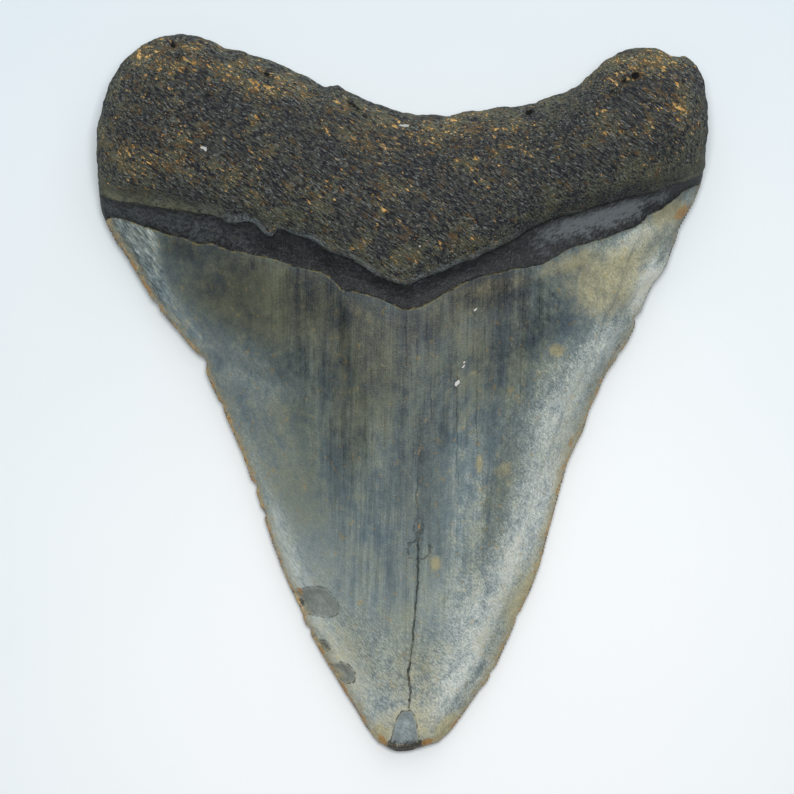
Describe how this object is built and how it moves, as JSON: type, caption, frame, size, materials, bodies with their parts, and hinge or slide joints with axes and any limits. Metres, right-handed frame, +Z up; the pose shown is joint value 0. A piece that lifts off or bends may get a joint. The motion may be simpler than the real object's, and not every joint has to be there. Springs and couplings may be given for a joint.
{
  "type": "megalodon tooth",
  "caption": "Fossil megalodon shark tooth with a broad serrated crown, dark gum band and two-lobed root, lying on its flat face.",
  "frame": {"origin": "centre of the tooth's bounding box, on the table that its flat outer face rests on", "axes": "+Z up from the table towards the convex inner face, +Y from the tip towards the root lobes, +X to the right with the convex face towards the viewer and the root away"},
  "size_m": [0.1031, 0.1209, 0.0255],
  "materials": {
    "fossil": "blue-grey enamel, polished by wear, with a coarse dark brown root"
  },
  "bodies": {
    "root": {"tooth": "fossil"}
  },
  "joints": []
}
